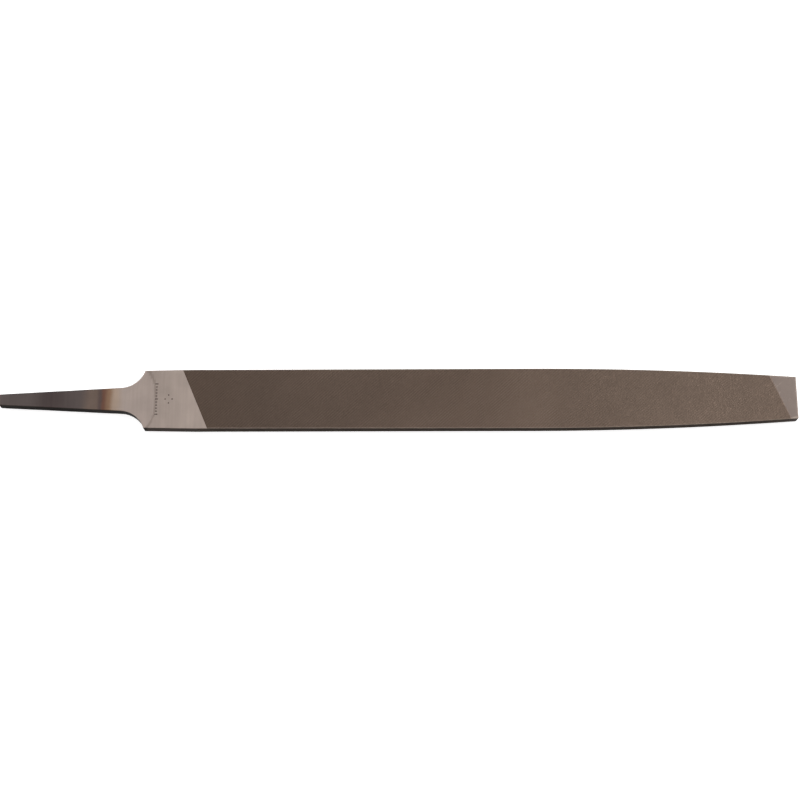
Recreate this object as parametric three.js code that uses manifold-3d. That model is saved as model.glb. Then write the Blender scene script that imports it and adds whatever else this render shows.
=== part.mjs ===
// A 300 mm flat hand file: one forging of hardened steel, lying on a broad face.
// Millimetres. +X runs from the tang to the point, +Y across the width, +Z through the
// thickness. The origin is under the middle of the whole length, on the plane it lies on.
// The body thins evenly to the point. It lies flat on its lower face, so that face is level
// and the upper one slopes by the whole of the taper.
import * as THREE from 'three';
import { mergeVertices } from 'three/addons/utils/BufferGeometryUtils.js';
import Module from 'manifold-3d';

// Lengths along X
const BODY_LENGTH = 300; // shoulder to point, the file's nominal length
const TANG_LENGTH = 66.7; // end of the tang to the shoulder
const HEEL_LENGTH = 23.3; // shoulder to the first tooth, on the centre line
const UNCUT_POINT = 7.2; // last tooth to the point, on the centre line
const FULL_WIDTH_AT = 180; // shoulder to where the width begins to taper

// Widths along Y
const BODY_WIDTH = 28.4; // at the widest place
const HEEL_WIDTH = 28; // where the teeth begin
const SHOULDER_WIDTH = 27.2;
const POINT_WIDTH = 19.8;
const TANG_ROOT_WIDTH = 10.9;
const TANG_END_WIDTH = 5.2;
const FLARE_RADIUS = 12; // hollow corner between the tang and the shoulder

// Thicknesses along Z
const BODY_THICKNESS = 6.5; // at the shoulder
const POINT_THICKNESS = 5.5;
const TANG_ROOT_THICKNESS = 6.2;
const TANG_END_THICKNESS = 5.8;
const SHOULDER_BREAK = 4; // shoulder to where the heel's flat faces begin

// Teeth: straight rows across both broad faces, leaning towards the point
const TEETH_PER_CM = 16; // counted along the file
const TOOTH_ANGLE = 23; // degrees between a row and the straight line across
const TOOTH_DEPTH = 0.2; // uncut face to the bottom of a groove
const CREST_DROP = 0.02; // uncut face to the tip of a tooth
const TOOTH_FRONT = 0.3; // part of a tooth's pitch that its steep front takes

const CURVE_STEPS = 16;
const CLEARANCE = 2; // how far the cutting solids reach past the steel

// Places that follow from the dimensions
const TANG_END_X = -(BODY_LENGTH + TANG_LENGTH) / 2;
const SHOULDER_X = TANG_END_X + TANG_LENGTH;
const POINT_X = SHOULDER_X + BODY_LENGTH;
const TAPER_X = SHOULDER_X + FULL_WIDTH_AT;
const HEEL_X = SHOULDER_X + HEEL_LENGTH;
const LAST_TOOTH_X = POINT_X - UNCUT_POINT;
const MIDDLE_Z = BODY_THICKNESS / 2;
const FACE_SLOPE = (BODY_THICKNESS - POINT_THICKNESS) / BODY_LENGTH; // fall of the upper face

const wasm = await Module();
wasm.setup();

// Drops a level shape, drawn for the shoulder, by the given slope along X.
function slopeDown(slope) {
  const drop = new THREE.Matrix4().makeTranslation(0, 0, slope * SHOULDER_X);
  return new THREE.Matrix4().makeShear(0, -slope, 0, 0, 0, 0).premultiply(drop);
}

// The hollow corner: an arc that leaves the tang's straight side smoothly and ends at the
// shoulder's corner. The tang's side runs from its end towards its root.
function flareArc() {
  const slope = Math.atan2((TANG_ROOT_WIDTH - TANG_END_WIDTH) / 2, TANG_LENGTH - FLARE_RADIUS);
  const start = new THREE.Vector2(TANG_END_X, TANG_END_WIDTH / 2);
  const along = new THREE.Vector2(Math.cos(slope), Math.sin(slope));
  const outward = new THREE.Vector2(-along.y, along.x);
  const corner = new THREE.Vector2(SHOULDER_X, SHOULDER_WIDTH / 2).sub(start);
  const short = FLARE_RADIUS - corner.dot(outward);
  const reach = corner.dot(along) - Math.sqrt(FLARE_RADIUS ** 2 - short ** 2);
  const centre = start.addScaledVector(along, reach).addScaledVector(outward, FLARE_RADIUS);
  const last = Math.atan2(SHOULDER_WIDTH / 2 - centre.y, SHOULDER_X - centre.x);
  return { centre, first: slope - Math.PI / 2, last };
}

// One side of the outline in plan, from the tang's end to the point.
function sideOutline() {
  const { centre, first, last } = flareArc();
  const arcX = centre.x + FLARE_RADIUS * Math.cos(first);
  const arcY = centre.y + FLARE_RADIUS * Math.sin(first);
  const side = new THREE.Path();
  side.moveTo(TANG_END_X, TANG_END_WIDTH / 2);
  side.lineTo(arcX, arcY);
  side.absarc(centre.x, centre.y, FLARE_RADIUS, first, last, false);
  side.lineTo(HEEL_X, HEEL_WIDTH / 2);
  side.lineTo(TAPER_X, BODY_WIDTH / 2);
  side.quadraticCurveTo((TAPER_X + POINT_X) / 2, BODY_WIDTH / 2, POINT_X, POINT_WIDTH / 2);
  return side.getPoints(CURVE_STEPS);
}

// The upper edge of the long section, from the tang's end to the point, above mid-height.
function topProfile() {
  const breakX = SHOULDER_X + SHOULDER_BREAK;
  const breakThickness = BODY_THICKNESS - FACE_SLOPE * SHOULDER_BREAK;
  return [
    new THREE.Vector2(TANG_END_X, TANG_END_THICKNESS / 2),
    new THREE.Vector2(SHOULDER_X - FLARE_RADIUS, TANG_ROOT_THICKNESS / 2),
    new THREE.Vector2(breakX, breakThickness / 2),
    new THREE.Vector2(POINT_X, POINT_THICKNESS / 2),
  ];
}

// A closed shape from one edge and its mirror image below the X axis.
function mirrored(edge) {
  const other = edge.map((point) => new THREE.Vector2(point.x, -point.y)).reverse();
  return new THREE.Shape([...edge, ...other]);
}

// A shape drawn in X and Z, pushed through the whole width and centred on it.
function acrossWidth(shape, reach) {
  const geometry = new THREE.ExtrudeGeometry(shape, { depth: reach, bevelEnabled: false });
  return geometry.rotateX(Math.PI / 2).translate(0, reach / 2, 0);
}

function toSolid(geometry) {
  const bare = geometry.clone();
  bare.deleteAttribute('normal');
  bare.deleteAttribute('uv');
  const merged = mergeVertices(bare);
  const mesh = new wasm.Mesh({
    numProp: 3,
    vertProperties: Float32Array.from(merged.attributes.position.array),
    triVerts: Uint32Array.from(merged.index.array),
  });
  return new wasm.Manifold(mesh);
}

function toGeometry(solid) {
  const { vertProperties, triVerts } = solid.getMesh();
  const geometry = new THREE.BufferGeometry();
  geometry.setAttribute('position', new THREE.BufferAttribute(vertProperties, 3));
  geometry.setIndex(new THREE.BufferAttribute(triVerts, 1));
  geometry.computeVertexNormals();
  return geometry;
}

// The blank: the plan outline and the long section, each pushed through the other.
function blankSolid() {
  const height = BODY_THICKNESS + 2 * CLEARANCE;
  const plan = new THREE.ExtrudeGeometry(mirrored(sideOutline()), {
    depth: height,
    bevelEnabled: false,
  });
  plan.translate(0, 0, MIDDLE_Z - height / 2);
  const section = acrossWidth(mirrored(topProfile()), BODY_WIDTH + 2 * CLEARANCE);
  section.applyMatrix4(slopeDown(FACE_SLOPE / 2)).translate(0, 0, MIDDLE_Z);
  return toSolid(plan).intersect(toSolid(section));
}

// A comb with one ridge for each groove between the teeth of a face at Z = 0. It is drawn in
// the long section, pushed across the width and slid sideways to the rows' angle.
function toothComb() {
  const pitch = 10 / TEETH_PER_CM;
  const slide = Math.tan(THREE.MathUtils.degToRad(TOOTH_ANGLE));
  const comb = new THREE.Shape();
  comb.moveTo(HEEL_X, CLEARANCE);
  let x = HEEL_X;
  for (; x + pitch <= LAST_TOOTH_X; x += pitch) {
    comb.lineTo(x, -CREST_DROP);
    comb.lineTo(x + TOOTH_FRONT * pitch, -TOOTH_DEPTH);
  }
  comb.lineTo(x, -CREST_DROP);
  comb.lineTo(x, CLEARANCE);
  const lean = new THREE.Matrix4().makeShear(0, 0, -slide, 0, 0, 0);
  return acrossWidth(comb, BODY_WIDTH + 2 * CLEARANCE).applyMatrix4(lean);
}

// Turning the file over about its length brings the other face up with the same rows.
function cutTeeth(blank) {
  const bottom = toothComb().rotateX(Math.PI);
  const top = toothComb().applyMatrix4(slopeDown(FACE_SLOPE)).translate(0, 0, BODY_THICKNESS);
  return blank.subtract(toSolid(top)).subtract(toSolid(bottom));
}

function fileMesh() {
  const steel = new THREE.MeshStandardMaterial({
    color: 0x6b5f57,
    roughness: 0.45,
    metalness: 0.9,
  });
  const mesh = new THREE.Mesh(toGeometry(cutTeeth(blankSolid())), steel);
  mesh.name = 'flat_file';
  return mesh;
}

const file = new THREE.Group();
file.add(fileMesh());

export default file;
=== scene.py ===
"""A 300 mm flat hand file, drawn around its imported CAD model. Metres, +X to the point, +Z up."""
import math

import bmesh
import bpy
import numpy as np
from mathutils import Matrix, Vector, noise


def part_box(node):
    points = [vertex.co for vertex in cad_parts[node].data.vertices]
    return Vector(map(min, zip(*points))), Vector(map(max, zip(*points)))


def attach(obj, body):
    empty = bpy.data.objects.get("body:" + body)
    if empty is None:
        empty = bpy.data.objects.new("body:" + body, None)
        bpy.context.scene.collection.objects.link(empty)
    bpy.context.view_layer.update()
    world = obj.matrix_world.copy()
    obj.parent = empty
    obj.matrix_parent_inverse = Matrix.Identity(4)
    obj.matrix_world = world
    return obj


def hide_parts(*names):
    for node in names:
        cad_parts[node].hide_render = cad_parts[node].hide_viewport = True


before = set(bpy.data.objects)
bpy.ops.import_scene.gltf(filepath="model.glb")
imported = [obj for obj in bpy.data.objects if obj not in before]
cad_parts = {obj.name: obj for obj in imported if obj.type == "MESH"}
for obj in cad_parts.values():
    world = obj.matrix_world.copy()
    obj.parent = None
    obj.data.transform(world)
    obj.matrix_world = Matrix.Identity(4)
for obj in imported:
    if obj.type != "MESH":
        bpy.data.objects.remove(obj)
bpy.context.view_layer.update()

NODE = "flat_file"
MM = 0.001

# Places read from the CAD node
LOW, HIGH = (np.array(corner, float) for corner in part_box(NODE))
TANG_END_X = LOW[0]
POINT_X = HIGH[0]
BODY_HALF_WIDTH = (HIGH[1] - LOW[1]) / 2

# The forging's own dimensions, as in the CAD source
BODY_LENGTH = 300 * MM
SHOULDER_X = POINT_X - BODY_LENGTH
HEEL_X = SHOULDER_X + 23.3 * MM  # first tooth, on the centre line
LAST_TOOTH_X = POINT_X - 7.2 * MM
TAPER_X = SHOULDER_X + 180 * MM
HEEL_HALF_WIDTH = 28 * MM / 2
SHOULDER_HALF_WIDTH = 27.2 * MM / 2
POINT_HALF_WIDTH = 19.8 * MM / 2
BODY_HALF_THICK = 6.5 * MM / 2  # at the shoulder
POINT_HALF_THICK = 5.5 * MM / 2
HALF_SLOPE = (BODY_HALF_THICK - POINT_HALF_THICK) / BODY_LENGTH
TANG_ROOT_HALF_WIDTH = 10.9 * MM / 2
TANG_END_HALF_WIDTH = 5.2 * MM / 2
TANG_ROOT_HALF_THICK = 6.2 * MM / 2
TANG_END_HALF_THICK = 5.8 * MM / 2
FLARE_RADIUS = 12 * MM
INSIDE = 0.003 * MM  # how far the surface stays within the CAD box

# Edge rounding, forging marks and the shallow dish where the heel's ground face ends
TANG_ROUND = 0.45 * MM
BODY_ROUND = 0.12 * MM
END_ROUND = 0.3 * MM
POINT_ROUND = 0.12 * MM
BREAK_AT_MIDDLE = 5.2 * MM  # shoulder to the end of the ground face
BREAK_AT_EDGE = 1.5 * MM
DISH_LENGTH = 15 * MM
FORGE_DEPTH = 0.07 * MM

# Teeth
TOOTH_PITCH = 10 * MM / 16
TOOTH_LEAN = math.tan(math.radians(23))
CROSS_LEAN = math.tan(math.radians(48))
CROSS_PITCH = 1.5 * MM
TOOTH_FRONT = 0.3  # part of the pitch under a tooth's steep front
CREST_DROP = 0.02 * MM
CROSS_DEPTH = 0.12 * MM
TOOTH_DEPTH = 0.2 * MM
TIP_BLEND = 0.5 * MM  # last groove to plain steel
EDGE_DEPTH = 0.07 * MM
CLEAR = 1.5 * MM  # how far a cutter reaches past the steel
TOOTH_JITTER = 0.008 * MM  # spread of the teeth's heights
PLAIN_ROW_STEP = 3 * MM  # between rows of points past the last tooth
EDGE_TEETH_START = 2 * MM  # first tooth on the faces to the first on the narrow edges
EDGE_TEETH_END = 3 * MM  # last tooth on the narrow edges to the point
EDGE_TOOTH_LEAN = math.tan(math.radians(22))

# Punched marks on the heel
TICK_COUNT = 11
TICK_PITCH = 1.44 * MM
TICK_FIRST_Y = 7.2 * MM
TICK_X = SHOULDER_X + 5.6 * MM
TICK_LENGTH = 0.9 * MM
LONG_TICK_LENGTH = 1.5 * MM  # every fifth one
TICK_HALF_WIDTH = 0.28 * MM
TICK_DEPTH = 0.22 * MM
DOT_RADIUS = 0.45 * MM
DOT_DEPTH = 0.24 * MM
DOT_SIDES = 14
DOTS_X = SHOULDER_X + 11.2 * MM  # the middle of the lozenge
DOTS_ALONG = 1.6 * MM
DOTS_ACROSS = 1.9 * MM
PUNCH_RISE = 0.1 * MM  # how far a punch's top stands above the face

# How quickly the colours change from one surface to the next
SIDE_BLEND = 0.1 * MM
BREAK_BLEND = 0.6 * MM

# Material indices, shared by the blank and every cutter
GROUND, TOOTHED, EDGE_CUT, PUNCHED, END_FACE = range(5)


# ---------------------------------------------------------------- the blank


def flare():
    """The hollow corner's centre and its first and last angle."""
    slope = math.atan2(
        TANG_ROOT_HALF_WIDTH - TANG_END_HALF_WIDTH, SHOULDER_X - TANG_END_X - FLARE_RADIUS
    )
    along = Vector((math.cos(slope), math.sin(slope)))
    outward = Vector((-along.y, along.x))
    start = Vector((TANG_END_X, TANG_END_HALF_WIDTH))
    corner = Vector((SHOULDER_X, SHOULDER_HALF_WIDTH)) - start
    short = FLARE_RADIUS - corner.dot(outward)
    reach = corner.dot(along) - math.sqrt(FLARE_RADIUS**2 - short**2)
    centre = start + along * reach + outward * FLARE_RADIUS
    last = math.atan2(SHOULDER_HALF_WIDTH - centre.y, SHOULDER_X - centre.x)
    return centre, slope - math.pi / 2, last


FLARE_CENTRE, FLARE_FIRST, FLARE_LAST = flare()
FLARE_START_X = FLARE_CENTRE.x + FLARE_RADIUS * math.cos(FLARE_FIRST)


def half_width(x):
    """Half of the blank's width at x, for numbers or arrays."""
    x = np.asarray(x, float)
    slope = math.tan(FLARE_FIRST + math.pi / 2)
    tang = TANG_END_HALF_WIDTH + (x - TANG_END_X) * slope
    inside = np.clip(FLARE_RADIUS**2 - (x - FLARE_CENTRE.x) ** 2, 0, None)
    hollow = FLARE_CENTRE.y - np.sqrt(inside)
    to_heel = (x - SHOULDER_X) / (HEEL_X - SHOULDER_X)
    heel = SHOULDER_HALF_WIDTH + (HEEL_HALF_WIDTH - SHOULDER_HALF_WIDTH) * to_heel
    to_taper = (x - HEEL_X) / (TAPER_X - HEEL_X)
    body = HEEL_HALF_WIDTH + (BODY_HALF_WIDTH - HEEL_HALF_WIDTH) * to_taper
    to_point = (x - TAPER_X) / (POINT_X - TAPER_X)
    taper = BODY_HALF_WIDTH - (BODY_HALF_WIDTH - POINT_HALF_WIDTH) * to_point**2
    places = [x < FLARE_START_X, x < SHOULDER_X, x < HEEL_X, x < TAPER_X]
    return np.select(places, [tang, hollow, heel, body], taper)


def middle(x):
    """Mid-height at x. It falls to the point, because the file lies flat on its lower face."""
    return LOW[2] + BODY_HALF_THICK - HALF_SLOPE * (np.asarray(x, float) - SHOULDER_X)


def body_half_thick(x):
    """Half of the body's thickness at x, thinning evenly to the point."""
    even = BODY_HALF_THICK - HALF_SLOPE * (np.asarray(x, float) - SHOULDER_X)
    return np.minimum(even, HIGH[2] - middle(x)) - INSIDE


def break_x(y):
    """Where the heel's flat ground face ends: a shallow curve, nearer the shoulder at the sides."""
    aside = np.abs(y) / SHOULDER_HALF_WIDTH
    return SHOULDER_X + BREAK_AT_MIDDLE - (BREAK_AT_MIDDLE - BREAK_AT_EDGE) * aside**3


def half_thick(x, y):
    """Half of the thickness anywhere: the body, the dish behind the heel and the tang."""
    x = np.asarray(x, float)
    to_root = (x - TANG_END_X) / (SHOULDER_X - FLARE_RADIUS - TANG_END_X)
    tang = TANG_END_HALF_THICK + (TANG_ROOT_HALF_THICK - TANG_END_HALF_THICK) * to_root
    body = body_half_thick(x)
    fall = np.clip((break_x(y) - x) / DISH_LENGTH, 0, 1)
    return body - (body - np.minimum(tang, body)) * (1 - (1 - fall) ** 2)


def stations():
    """The places along X where the blank has a ring, closer together where it curves."""
    runs = [
        np.arange(TANG_END_X + END_ROUND, FLARE_START_X, 1.0 * MM),
        FLARE_CENTRE.x + FLARE_RADIUS * np.cos(np.linspace(FLARE_FIRST, FLARE_LAST, 22)),
        np.arange(SHOULDER_X + 0.7 * MM, HEEL_X + 8 * MM, 0.9 * MM),
        np.arange(HEEL_X + 9 * MM, TAPER_X, 12 * MM),
        np.linspace(TAPER_X, POINT_X - POINT_ROUND, 40),
    ]
    return np.concatenate(runs)


def round_at(x):
    """Corner rounding along the file: forged soft on the tang, nearly sharp on the body."""
    to_body = np.clip((x - FLARE_START_X) / (SHOULDER_X + 3 * MM - FLARE_START_X), 0, 1)
    return TANG_ROUND + (BODY_ROUND - TANG_ROUND) * to_body**0.7


def ring(x, shrink=0.0):
    """One closed cross-section at x, as rows of y and z. shrink draws it in near an end."""
    columns, corner_steps, side_steps = 20, 5, 4
    wide = float(half_width(x)) - shrink
    corner = min(float(round_at(x)), wide * 0.45)
    flat = wide - corner
    points = []
    for y in np.linspace(-flat, flat, columns + 1):
        points.append((y, float(half_thick(x, y)) - shrink))
    edge = float(half_thick(x, flat)) - shrink
    for angle in np.linspace(math.pi / 2, 0, corner_steps + 1)[1:]:
        points.append((flat + corner * math.cos(angle), edge - corner + corner * math.sin(angle)))
    for z in np.linspace(edge - corner, corner - edge, side_steps + 1)[1:-1]:
        points.append((wide, z))
    half = np.array(points)
    return np.concatenate([half, [(wide, corner - edge)], -half, [(-wide, edge - corner)]])


def forge(x, y, z, soften):
    """Moves a point by the forging's slight unevenness, which fades out on the ground heel."""
    spot = Vector((x / (9 * MM), y / (5 * MM), z / (5 * MM)))
    fine = Vector((x / (2.5 * MM), y / (2.0 * MM), z / (2.0 * MM)))
    push = FORGE_DEPTH * soften * (noise.noise(spot) + 0.35 * noise.noise(fine))
    outward = Vector((0.0, y, 2.0 * z))
    return outward.normalized() * push


def mesh_object(name, vertices, faces, slot=0):
    """An object from plain lists, with its faces turned outward."""
    mesh = bpy.data.meshes.new(name)
    mesh.from_pydata([tuple(v) for v in vertices], [], faces)
    bm = bmesh.new()
    bm.from_mesh(mesh)
    bmesh.ops.recalc_face_normals(bm, faces=bm.faces)
    for face in bm.faces:
        face.material_index = slot
    bm.to_mesh(mesh)
    bm.free()
    for material in MATERIALS:
        mesh.materials.append(material)
    obj = bpy.data.objects.new(name, mesh)
    bpy.context.scene.collection.objects.link(obj)
    return obj


def blank():
    """The forged blank: rings from the tang's rounded end to the point."""
    rings = []
    turns = np.linspace(0, math.pi / 2, 5)[:-1]
    for turn in turns:
        x = TANG_END_X + END_ROUND * (1 - math.sin(turn))
        rings.append((x, ring(x, END_ROUND * (1 - math.cos(turn)))))
    rings.sort(key=lambda item: item[0])
    for x in stations():
        rings.append((x, ring(x)))
    for turn in np.linspace(0, math.pi / 2, 4)[1:]:
        x = POINT_X - INSIDE - POINT_ROUND * (1 - math.sin(turn))
        rings.append((x, ring(x, POINT_ROUND * (1 - math.cos(turn)))))
    count = len(rings[0][1])
    vertices = []
    for x, points in rings:
        soften = float(np.clip((SHOULDER_X + 2 * MM - x) / (12 * MM), 0, 1))
        for y, z in points:
            moved = Vector((x, y, z)) + forge(x, y, z, soften)
            vertices.append((moved.x, moved.y, float(middle(x)) + moved.z))
    faces = [list(range(count)), list(range(len(vertices) - count, len(vertices)))]
    for i in range(len(rings) - 1):
        for j in range(count):
            k = (j + 1) % count
            faces.append((i * count + j, i * count + k, (i + 1) * count + k, (i + 1) * count + j))
    body = mesh_object("flat_file_steel", vertices, faces, GROUND)
    for end in (0, 1):
        body.data.polygons[end].material_index = END_FACE
    return body


# ---------------------------------------------------------------- the teeth


def tooth_row(row_x, top, groove, half_steps, vertices):
    """One row of points along a tooth's crest or valley. Returns pairs of place and index.

    top and groove are the depths between and on the crossing grooves. half_steps puts points at
    both, and otherwise they are on the grooves alone."""
    side = BODY_HALF_WIDTH + CLEAR
    lean = TOOTH_LEAN + CROSS_LEAN
    first = (row_x - HEEL_X - side * lean) / CROSS_PITCH
    last = (row_x - HEEL_X + side * lean) / CROSS_PITCH
    step = 0.5 if half_steps else 1.0
    places = np.arange(math.ceil(first / step) * step + step, last - step * 0.5, step)
    row = []
    for place in [first, *places, last]:
        y = (row_x - HEEL_X - place * CROSS_PITCH) / lean
        x = row_x - y * TOOTH_LEAN
        on_groove = abs(place - round(place)) < 0.25
        depth = groove if on_groove else top
        depth += rng.normal(0, TOOTH_JITTER)
        row.append((place, len(vertices)))
        vertices.append((x, y, float(body_half_thick(x)) - depth))
    return row


def zip_rows(row_a, row_b, faces):
    """Triangles between two rows, stepping along whichever row's next place comes first."""
    i = j = 0
    last_a, last_b = len(row_a) - 1, len(row_b) - 1
    while i < last_a or j < last_b:
        next_a = row_a[i + 1][0] if i + 1 < last_a else math.inf
        next_b = row_b[j + 1][0] if j + 1 < last_b else math.inf
        if i < last_a and (next_a <= next_b or j == last_b):
            faces.append((row_a[i][1], row_a[i + 1][1], row_b[j][1]))
            i += 1
        else:
            faces.append((row_a[i][1], row_b[j + 1][1], row_b[j][1]))
            j += 1


def face_teeth():
    """A cutter for the top face. Its underside is the double cut, in points at every crossing.

    Also returns where the rows end, at mid-width."""
    vertices, faces, rows = [], [], []
    x = HEEL_X
    while x + TOOTH_PITCH <= LAST_TOOTH_X:
        pitch = TOOTH_PITCH * (1 + 0.05 * math.sin(x / (7 * MM)))
        rows.append(tooth_row(x, CREST_DROP, CROSS_DEPTH, True, vertices))
        valley_x = x + TOOTH_FRONT * pitch
        rows.append(tooth_row(valley_x, TOOTH_DEPTH, TOOTH_DEPTH, False, vertices))
        x += pitch
    past_point = POINT_X + (BODY_HALF_WIDTH + CLEAR) * TOOTH_LEAN + CLEAR
    tip_x = x
    rows.append(tooth_row(x, CREST_DROP / 2, CROSS_DEPTH * 0.7, True, vertices))
    x += TIP_BLEND
    while x < past_point:
        rows.append(tooth_row(x, CREST_DROP / 2, CROSS_DEPTH * 0.7, True, vertices))
        x += PLAIN_ROW_STEP
    for row, following in zip(rows, rows[1:]):
        zip_rows(row, following, faces)
    close_cutter(vertices, faces, rows)
    return vertices, faces, tip_x


def close_cutter(vertices, faces, rows):
    """Walls and a lid that make the toothed sheet a closed block above the steel."""
    above = BODY_HALF_THICK + CLEAR
    first, last = rows[0], rows[-1]
    corners = [first[0][1], first[-1][1], last[-1][1], last[0][1]]
    lid = []
    for corner in corners:
        x, y, _ = vertices[corner]
        lid.append(len(vertices))
        vertices.append((x, y, above))
    faces.append(lid)
    faces.append([lid[1], lid[0], *(index for _, index in first)])
    faces.append([lid[3], lid[2], *(index for _, index in reversed(last))])
    faces.append([lid[2], lid[1], *(row[-1][1] for row in rows)])
    faces.append([lid[0], lid[3], *(row[0][1] for row in reversed(rows))])


def placed(vertices, turned):
    """Moves a cutter from mid-height to its place, first turned over for the under face."""
    flip = -1 if turned else 1
    return [(x, y * flip, float(middle(x)) + z * flip) for x, y, z in vertices]


def edge_teeth(side):
    """A cutter for one narrow edge, with slanting grooves. side is 1 or -1."""
    reach = BODY_HALF_THICK + CLEAR
    lean = EDGE_TOOTH_LEAN * reach
    outer = side * (BODY_HALF_WIDTH + 3 * CLEAR)
    start = HEEL_X + EDGE_TEETH_START
    count = int((POINT_X - EDGE_TEETH_END - start) / TOOTH_PITCH)
    vertices, faces = [], []
    low, high = [], []
    for i in range(2 * count + 1):
        on_crest = i % 2 == 0
        x = start + (i // 2 + (0 if on_crest else TOOTH_FRONT)) * TOOTH_PITCH
        depth = CREST_DROP if on_crest else EDGE_DEPTH
        for bottom, z, row in ((True, -reach, low), (False, reach, high)):
            slid = x + (-lean if bottom else lean) * side
            row.append(len(vertices))
            y = side * (float(half_width(slid)) - depth)
            vertices.append((slid, y, float(middle(slid)) + z))
    for i in range(2 * count):
        faces.append((low[i], low[i + 1], high[i + 1]))
        faces.append((low[i], high[i + 1], high[i]))
    ends = []
    for row in (low, high):
        pair = []
        for index in (row[0], row[-1]):
            x, _, z = vertices[index]
            pair.append(len(vertices))
            vertices.append((x, outer, z))
        ends.append(pair)
    (low_start, low_end), (high_start, high_end) = ends
    faces.append([low_start, *low, low_end])
    faces.append([high_end, *reversed(high), high_start])
    faces.append([low_start, low_end, high_end, high_start])
    faces.append([low[0], low_start, high_start, high[0]])
    faces.append([low[-1], high[-1], high_end, low_end])
    return mesh_object("edge_cutter", vertices, faces, EDGE_CUT)


# ---------------------------------------------------------------- punched marks


def tick(x, y, length, vertices, faces):
    """A short chisel mark across the file, as a wedge sunk into the heel."""
    first = len(vertices)
    face = float(body_half_thick(x))
    for end in (-1, 1):
        for edge in (-1, 1):
            place = (x + edge * length / 2, y + end * TICK_HALF_WIDTH, face + PUNCH_RISE)
            vertices.append(place)
    for edge in (-1, 1):
        vertices.append((x + edge * length * 0.42, y, face - TICK_DEPTH))
    for corners in ((0, 1, 3, 2), (0, 4, 5, 1), (2, 3, 5, 4), (0, 2, 4), (1, 5, 3)):
        faces.append([first + i for i in corners])


def dot(x, y, radius, vertices, faces):
    """A round punch mark, as a cone sunk into the heel."""
    first = len(vertices)
    face = float(body_half_thick(x))
    for i in range(DOT_SIDES):
        turn = 2 * math.pi * i / DOT_SIDES
        edge = (x + radius * math.cos(turn), y + radius * math.sin(turn))
        vertices.append((*edge, face + PUNCH_RISE))
    vertices.append((x, y, face - DOT_DEPTH))
    for i in range(DOT_SIDES):
        faces.append([first + i, first + (i + 1) % DOT_SIDES, first + DOT_SIDES])
    faces.append([first + i for i in range(DOT_SIDES)])


def punch_cutter():
    """Plain marks on the heel: a row of short ticks and a lozenge of dots."""
    vertices, faces = [], []
    for i in range(TICK_COUNT):
        length = LONG_TICK_LENGTH if i % 5 == 0 else TICK_LENGTH
        tick(TICK_X, TICK_FIRST_Y - TICK_PITCH * i, length, vertices, faces)
    for across, along in ((0, 1), (1, 0), (0, -1), (-1, 0)):
        x = DOTS_X + DOTS_ALONG * along
        dot(x, DOTS_ACROSS * across, DOT_RADIUS, vertices, faces)
    return mesh_object("punch_cutter", placed(vertices, False), faces, PUNCHED)


# ---------------------------------------------------------------- materials


class Nodes:
    """A short way to lay out a material's nodes."""

    def __init__(self, name):
        self.material = bpy.data.materials.new(name)
        self.material.use_nodes = True
        self.tree = self.material.node_tree
        self.tree.nodes.clear()
        self.shader = self.add("ShaderNodeBsdfPrincipled")
        output = self.add("ShaderNodeOutputMaterial")
        self.link(self.shader.outputs["BSDF"], output.inputs["Surface"])

    def add(self, kind, **settings):
        node = self.tree.nodes.new(kind)
        for key, value in settings.items():
            setattr(node, key, value)
        return node

    def link(self, source, target):
        self.tree.links.new(source, target)

    def feed(self, value, socket):
        if isinstance(value, bpy.types.NodeSocket):
            self.link(value, socket)
        else:
            socket.default_value = value

    def place(self):
        return self.add("ShaderNodeTexCoord").outputs["Object"]

    def stretched(self, scale):
        mapping = self.add("ShaderNodeMapping")
        mapping.inputs["Scale"].default_value = scale
        self.link(self.place(), mapping.inputs["Vector"])
        return mapping.outputs["Vector"]

    def noise(self, scale, detail=3.0, stretch=(1, 1, 1), rough=0.55):
        node = self.add("ShaderNodeTexNoise")
        node.inputs["Scale"].default_value = scale
        node.inputs["Detail"].default_value = detail
        node.inputs["Roughness"].default_value = rough
        self.link(self.stretched(stretch), node.inputs["Vector"])
        return node.outputs["Fac"]

    def attribute(self, name):
        return self.add("ShaderNodeAttribute", attribute_name=name).outputs["Fac"]

    def remap(self, value, low, high, to_low=0.0, to_high=1.0):
        node = self.add("ShaderNodeMapRange")
        self.link(value, node.inputs["Value"])
        for key, number in (
            ("From Min", low),
            ("From Max", high),
            ("To Min", to_low),
            ("To Max", to_high),
        ):
            node.inputs[key].default_value = number
        return node.outputs["Result"]

    def math(self, operation, first, second=0.0):
        node = self.add("ShaderNodeMath", operation=operation)
        self.feed(first, node.inputs[0])
        self.feed(second, node.inputs[1])
        return node.outputs["Value"]

    def mix(self, factor, first, second, blend="MIX"):
        node = self.add("ShaderNodeMix", data_type="RGBA", blend_type=blend)
        self.feed(factor, node.inputs["Factor"])
        self.feed(first, node.inputs["A"])
        self.feed(second, node.inputs["B"])
        return node.outputs["Result"]

    def ramp(self, value, stops, smooth=True):
        node = self.add("ShaderNodeValToRGB")
        node.color_ramp.interpolation = "EASE" if smooth else "LINEAR"
        elements = node.color_ramp.elements
        while len(elements) < len(stops):
            elements.new(1.0)
        for element, (position, colour) in zip(elements, stops):
            element.position = position
            element.color = colour
        self.link(value, node.inputs["Fac"])
        return node.outputs["Color"]

    def along(self):
        split = self.add("ShaderNodeSeparateXYZ")
        self.link(self.place(), split.inputs["Vector"])
        return split.outputs["X"]

    def bump(self, height, distance, strength=1.0):
        node = self.add("ShaderNodeBump")
        node.inputs["Distance"].default_value = distance
        node.inputs["Strength"].default_value = strength
        self.link(height, node.inputs["Height"])
        self.link(node.outputs["Normal"], self.shader.inputs["Normal"])


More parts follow.
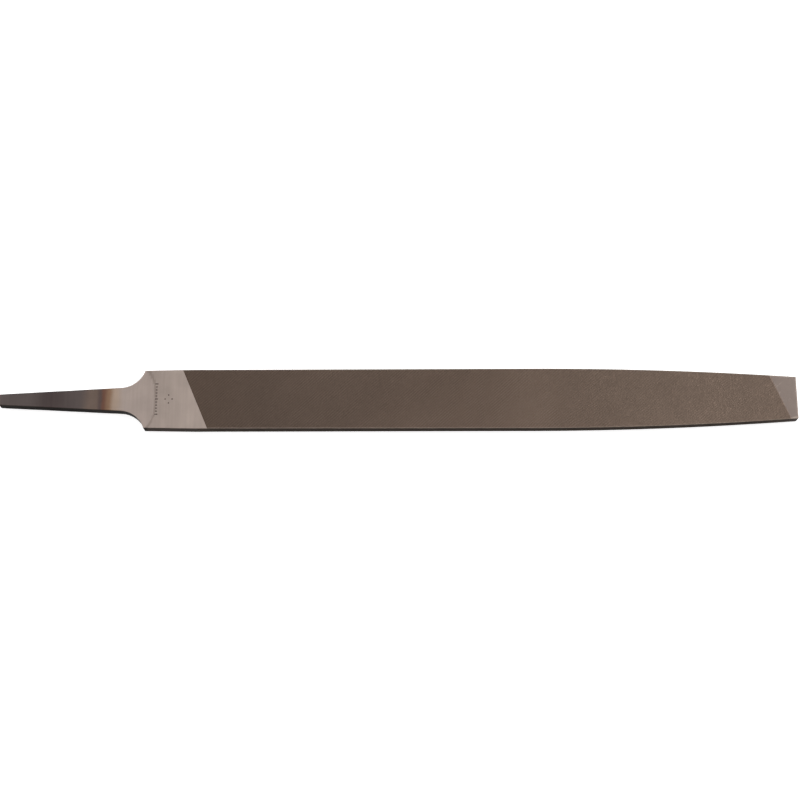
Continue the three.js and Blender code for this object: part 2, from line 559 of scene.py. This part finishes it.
def rgb(red, green, blue):
    """A colour given as it looks on screen, 0 to 255, turned into linear light."""
    linear = [((c / 255 + 0.055) / 1.055) ** 2.4 for c in (red, green, blue)]
    return (*linear, 1.0)


HEEL_STEEL = rgb(178, 163, 154)
POINT_STEEL = rgb(128, 116, 109)
FLARE_STEEL = rgb(176, 161, 153)
PALE_STEEL = rgb(175, 154, 138)
STRAW = rgb(144, 114, 92)
RUST_BROWN = rgb(117, 84, 71)
TEMPER_BLUE = rgb(97, 82, 79)
TEMPER_BROWN = rgb(115, 99, 90)
SCALE_GREY = rgb(92, 83, 81)
DARK_SCALE = rgb(78, 68, 67)
# The sides' dark colours are painted shade in part, for sides that get little light, with forge
# scale on the tang's side.
SCALED_SHADED_SIDE = rgb(30, 26, 24)
HEEL_SHADED_SIDE = rgb(62, 55, 51)
UNCUT_TIP = rgb(113, 103, 98)
# Lighter colour for the face rims: partly edge wear, partly a painted highlight of the corner.
WORN_HIGHLIT_CORNER = rgb(160, 146, 136)
# Painted shade for the edge of the shallow dish behind the heel.
BREAK_SHADE = rgb(128, 115, 107)
EDGE_TINT = (0.42, 0.42, 0.42, 1)  # how bright bare metal stays when seen nearly edge-on


def temper_colours(nodes):
    """Bands that heat left on the tang, from bright steel at the shoulder to dull scale."""
    wander = nodes.remap(nodes.noise(90, 3), 0.3, 0.7, -0.5 * MM, 0.5 * MM)
    place = nodes.math("ADD", nodes.along(), wander)
    fraction = nodes.remap(place, TANG_END_X, SHOULDER_X)
    stops = [
        (0.0, SCALE_GREY),
        (0.17, SCALE_GREY),
        (0.36, DARK_SCALE),
        (0.55, SCALE_GREY),
        (0.635, TEMPER_BROWN),
        (0.665, TEMPER_BROWN),
        (0.695, TEMPER_BLUE),
        (0.722, RUST_BROWN),
        (0.757, STRAW),
        (0.80, PALE_STEEL),
        (0.87, FLARE_STEEL),
    ]
    return nodes.ramp(fraction, stops)


def bare_metal(nodes, roughness):
    """Sets a shader to bare steel that darkens where it is seen edge-on."""
    nodes.shader.inputs["Metallic"].default_value = 1.0
    nodes.shader.inputs["Specular Tint"].default_value = EDGE_TINT
    nodes.feed(roughness, nodes.shader.inputs["Roughness"])


def ground_steel():
    """The smooth heel and point, and the tang with the colours left by heat."""
    nodes = Nodes("ground_steel")
    colour = temper_colours(nodes)
    heel = nodes.attribute("heel")
    # Painted sheen: the heel's ground face is made lighter from the shoulder towards the heel, a
    # light gradient painted into its colour.
    painted_sheen = nodes.remap(nodes.along(), SHOULDER_X + 4 * MM, HEEL_X + 4 * MM, 0.92, 1.12)
    colour = nodes.mix(heel, colour, nodes.mix(1.0, HEEL_STEEL, painted_sheen, "MULTIPLY"))
    # Painted shade: a darker line where the heel's ground face meets the dish, standing in for the
    # dish's shading.
    shaded_break = nodes.math("MULTIPLY", heel, nodes.math("SUBTRACT", 1.0, heel))
    colour = nodes.mix(nodes.math("MULTIPLY", shaded_break, 1.8), colour, BREAK_SHADE)
    point = nodes.remap(nodes.along(), TAPER_X, POINT_X - 25 * MM)
    colour = nodes.mix(point, colour, POINT_STEEL)
    cloud = nodes.remap(nodes.noise(120, 4), 0.3, 0.75, 0.93, 1.05)
    colour = nodes.mix(1.0, colour, cloud, "MULTIPLY")
    lines = nodes.noise(900, 2, (1, 0.03, 1))
    colour = nodes.mix(nodes.remap(lines, 0.35, 0.7, 0.0, 0.1), colour, rgb(112, 102, 96))
    # Painted shade in part: the side faces are coloured dark, partly as the tang's scale and partly
    # for the shade they stand in.
    scale_and_shade_side = nodes.mix(heel, SCALED_SHADED_SIDE, HEEL_SHADED_SIDE)
    colour = nodes.mix(nodes.attribute("side"), colour, scale_and_shade_side)
    nodes.link(colour, nodes.shader.inputs["Base Color"])
    bare_metal(nodes, nodes.remap(nodes.noise(60, 3), 0.3, 0.7, 0.36, 0.46))
    nodes.bump(lines, 0.004 * MM)
    return nodes.material


def toothed_steel():
    """The cut faces: crests that catch the light over darker valleys."""
    nodes = Nodes("toothed_steel")
    depth = nodes.attribute("depth")
    colour = nodes.mix(nodes.remap(depth, 0.1, 0.9), rgb(147, 130, 119), rgb(114, 99, 88))
    colour = nodes.mix(nodes.attribute("tip"), colour, UNCUT_TIP)
    # Painted light: the cut faces are made darker at the heel and lighter towards the point, a
    # gradient of light painted into their colour.
    stops = [
        (0.0, rgb(176, 172, 170)),
        (0.12, rgb(184, 181, 180)),
        (0.45, rgb(204, 200, 198)),
        (0.8, rgb(236, 234, 232)),
        (1.0, rgb(248, 246, 244)),
    ]
    painted_light_ramp = nodes.ramp(nodes.remap(nodes.along(), HEEL_X, POINT_X), stops, smooth=False)
    colour = nodes.mix(1.0, colour, painted_light_ramp, "MULTIPLY")
    cloud = nodes.remap(nodes.noise(25, 4), 0.3, 0.75, 0.9, 1.08)
    colour = nodes.mix(1.0, colour, cloud, "MULTIPLY")
    # Partly painted highlight: the cut faces lighten along their rims, partly as edge wear and
    # partly as the corner's highlight.
    worn_and_highlit = nodes.remap(nodes.attribute("rim"), 0.7 * MM, 0.2 * MM, 0.0, 0.45)
    colour = nodes.mix(worn_and_highlit, colour, WORN_HIGHLIT_CORNER)
    nodes.link(colour, nodes.shader.inputs["Base Color"])
    bare_metal(nodes, 0.5)
    return nodes.material


def edge_steel():
    """The narrow cut edges: dark, partly with scale and partly as painted shade, and lighter along
    their corners, partly bare steel and partly a painted highlight.
    """
    nodes = Nodes("edge_steel")
    rim = nodes.attribute("rim")
    # Painted highlight in part: a lighter band along the corners, partly bare steel.
    bare_and_highlit = nodes.remap(rim, 0.3 * MM, 0.08 * MM)
    spots = nodes.remap(nodes.noise(300, 4), 0.35, 0.7)
    # Painted shade in part: the edges are coloured very dark for the little light they get.
    colour = nodes.mix(spots, rgb(25, 22, 20), rgb(37, 32, 29))
    colour = nodes.mix(bare_and_highlit, colour, rgb(72, 64, 58))
    nodes.link(colour, nodes.shader.inputs["Base Color"])
    bare_metal(nodes, 0.5)
    return nodes.material


def punched_steel():
    """The bottoms of the punched marks, coloured darker than the face around them."""
    nodes = Nodes("punched_steel")
    dark_mottle = nodes.remap(nodes.noise(700, 3), 0.3, 0.7)
    colour = nodes.mix(dark_mottle, rgb(46, 38, 35), rgb(68, 58, 53))
    nodes.link(colour, nodes.shader.inputs["Base Color"])
    nodes.shader.inputs["Metallic"].default_value = 0.6
    nodes.shader.inputs["Roughness"].default_value = 0.7
    return nodes.material


def end_steel():
    """The two small end faces: dark scale at the tang, cut steel at the point."""
    nodes = Nodes("end_steel")
    point = nodes.remap(nodes.along(), TANG_END_X, POINT_X)
    colour = nodes.mix(point, rgb(60, 53, 50), rgb(108, 97, 90))
    spots = nodes.remap(nodes.noise(500, 4), 0.3, 0.7, 0.85, 1.1)
    colour = nodes.mix(1.0, colour, spots, "MULTIPLY")
    nodes.link(colour, nodes.shader.inputs["Base Color"])
    bare_metal(nodes, 0.5)
    return nodes.material


# ---------------------------------------------------------------- assembling


def cut(target, cutter):
    """Takes the cutter's solid out of the target, keeping the cutter's material on the cut."""
    modifier = target.modifiers.new("cut", "BOOLEAN")
    modifier.operation = "DIFFERENCE"
    modifier.solver = "MANIFOLD"
    modifier.object = cutter
    depsgraph = bpy.context.evaluated_depsgraph_get()
    result = bpy.data.meshes.new_from_object(target.evaluated_get(depsgraph))
    target.modifiers.clear()
    before = target.data
    target.data = result
    bpy.data.meshes.remove(before)
    tool = cutter.data
    bpy.data.objects.remove(cutter)
    bpy.data.meshes.remove(tool)


def put_attribute(mesh, name, values):
    attribute = mesh.attributes.new(name, "FLOAT", "POINT")
    attribute.data.foreach_set("value", np.asarray(values, np.float32))


def mark_surface(mesh, tip_x):
    """Stores what the materials read: depth below the faces, rims, sides, uncut tip and heel."""
    places = np.empty(len(mesh.vertices) * 3)
    mesh.vertices.foreach_get("co", places)
    x, y, z = places.reshape(-1, 3).T
    below = half_thick(x, y) - np.abs(z - middle(x))
    inward = half_width(x) - np.abs(y)
    put_attribute(mesh, "depth", np.clip(below / TOOTH_DEPTH, 0, 1))
    rim = np.clip(below, 0, None) + np.clip(inward, 0, None)
    put_attribute(mesh, "rim", np.minimum(rim, POINT_X - x))
    put_attribute(mesh, "side", np.clip((below - inward) / SIDE_BLEND, 0, 1))
    row_x = x + y * np.sign(z - middle(x)) * TOOTH_LEAN
    put_attribute(mesh, "tip", np.clip((row_x - tip_x) / TIP_BLEND, 0, 1))
    put_attribute(mesh, "heel", np.clip(0.5 + (x - break_x(y)) / BREAK_BLEND, 0, 1))


def shade(mesh):
    """Teeth keep crisp facets. The rest is smooth between its real corners."""
    smooth = [polygon.material_index == GROUND for polygon in mesh.polygons]
    mesh.polygons.foreach_set("use_smooth", smooth)
    mesh.set_sharp_from_angle(angle=math.radians(28))


def steel_file():
    """The whole file: the blank with its teeth and marks cut."""
    body = blank()
    top_vertices, top_faces, tip_x = face_teeth()
    for turned in (False, True):
        cutter = mesh_object("face_cutter", placed(top_vertices, turned), top_faces, TOOTHED)
        cut(body, cutter)
    for side in (1, -1):
        cut(body, edge_teeth(side))
    cut(body, punch_cutter())
    mark_surface(body.data, tip_x)
    shade(body.data)
    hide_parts(NODE)
    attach(body, "root")
    return body


# ---------------------------------------------------------------- floor, light and camera


def floor():
    """A plain white table under the file."""
    size = 3.0
    level = LOW[2] - 0.05 * MM
    mesh = bpy.data.meshes.new("table")
    corners = [(x * size, y * size, level) for x, y in ((-1, -1), (1, -1), (1, 1), (-1, 1))]
    mesh.from_pydata(corners, [], [(0, 1, 2, 3)])
    nodes = Nodes("white_table")
    nodes.shader.inputs["Base Color"].default_value = (0.85, 0.85, 0.85, 1)
    nodes.shader.inputs["Roughness"].default_value = 0.9
    nodes.shader.inputs["Emission Color"].default_value = (1, 1, 1, 1)
    nodes.shader.inputs["Emission Strength"].default_value = 0.65
    mesh.materials.append(nodes.material)
    obj = bpy.data.objects.new("table", mesh)
    bpy.context.scene.collection.objects.link(obj)


def soft_light(name, place, target, size, power):
    data = bpy.data.lights.new(name, "AREA")
    data.shape = "SQUARE"
    data.size = size
    data.energy = power
    obj = bpy.data.objects.new(name, data)
    obj.location = place
    obj.rotation_euler = (Vector(target) - Vector(place)).to_track_quat("-Z", "Y").to_euler()
    bpy.context.scene.collection.objects.link(obj)


def sky():
    """A pale room that is whiter at the horizon than overhead."""
    world = bpy.data.worlds.new("pale_room")
    world.use_nodes = True
    tree = world.node_tree
    tree.nodes.clear()
    coordinate = tree.nodes.new("ShaderNodeTexCoord")
    split = tree.nodes.new("ShaderNodeSeparateXYZ")
    ramp = tree.nodes.new("ShaderNodeValToRGB")
    ramp.color_ramp.elements[0].position = 0.2
    ramp.color_ramp.elements[0].color = (1, 1, 1, 1)
    ramp.color_ramp.elements[1].position = 0.9
    ramp.color_ramp.elements[1].color = (0.45, 0.45, 0.45, 1)
    background = tree.nodes.new("ShaderNodeBackground")
    output = tree.nodes.new("ShaderNodeOutputWorld")
    tree.links.new(coordinate.outputs["Generated"], split.inputs["Vector"])
    tree.links.new(split.outputs["Z"], ramp.inputs["Fac"])
    tree.links.new(ramp.outputs["Color"], background.inputs["Color"])
    tree.links.new(background.outputs["Background"], output.inputs["Surface"])
    background.inputs["Strength"].default_value = 1.0
    bpy.context.scene.world = world


def camera():
    """Looks down on the file from its near edge, tang to the left."""
    elevation = math.radians(74.528)
    distance = 750 * MM
    data = bpy.data.cameras.new("camera")
    data.lens = 73.551
    data.sensor_width = 36
    data.clip_start = 0.01
    obj = bpy.data.objects.new("camera", data)
    target = Vector((0.767 * MM, -0.83 * MM, 6.4 * MM))
    away = Vector((0, -math.cos(elevation), math.sin(elevation)))
    obj.location = target + away * distance
    tilt = Matrix.Rotation(math.pi / 2 - elevation, 3, "X")
    roll = Matrix.Rotation(math.radians(-0.193), 3, "Z")
    obj.rotation_euler = (tilt @ roll).to_euler()
    bpy.context.scene.collection.objects.link(obj)
    bpy.context.scene.camera = obj


rng = np.random.default_rng(11)
MATERIALS = [ground_steel(), toothed_steel(), edge_steel(), punched_steel(), end_steel()]
camera()
steel_file()
floor()
sky()
soft_light("right_softbox", (0.7, 0.5, 0.9), (0.05, 0, 0), 0.8, 9)
soft_light("left_softbox", (-0.9, 0.3, 1.1), (0, 0, 0), 0.9, 3)
bpy.context.scene.view_settings.view_transform = "Standard"
